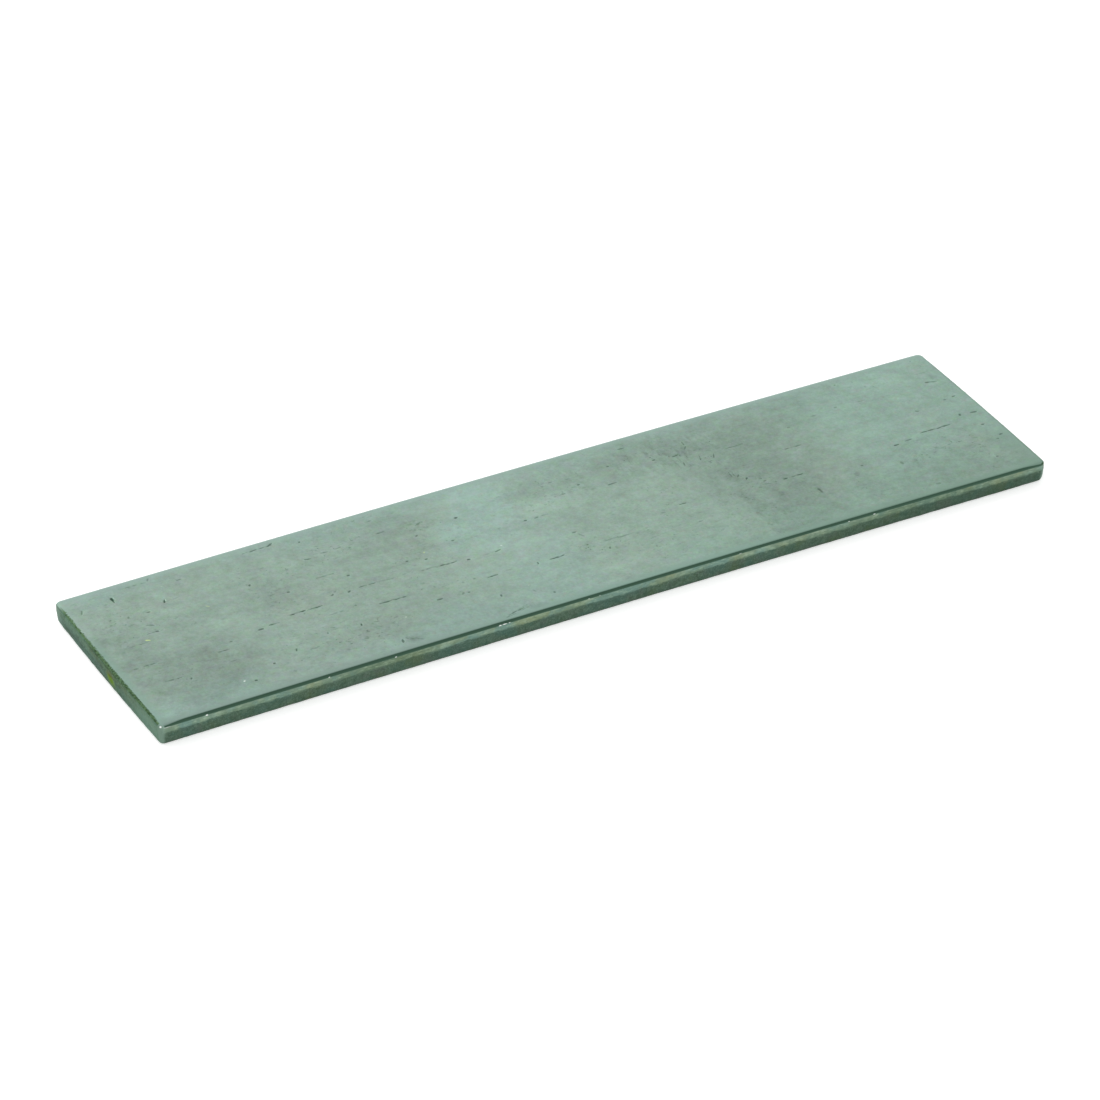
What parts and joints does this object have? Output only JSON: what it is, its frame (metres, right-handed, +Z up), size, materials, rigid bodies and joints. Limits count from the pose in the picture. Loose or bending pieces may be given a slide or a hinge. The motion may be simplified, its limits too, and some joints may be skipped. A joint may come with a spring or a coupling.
{
  "type": "metal flat bar",
  "caption": "Short straight length of sheared steel flat bar with square ends, small rounded corners and no holes.",
  "frame": {"origin": "centre of the rectangle that the bar covers, on the plane that it lies on", "axes": "+X along the bar, +Y across its width, towards the side that the long edges bow to, +Z up from the bottom face to the top face with the rolled edge"},
  "size_m": [0.2032, 0.0514, 0.0048],
  "materials": {
    "mill_steel": "satin"
  },
  "bodies": {
    "root": {"flat_bar": "mill_steel"}
  },
  "joints": []
}
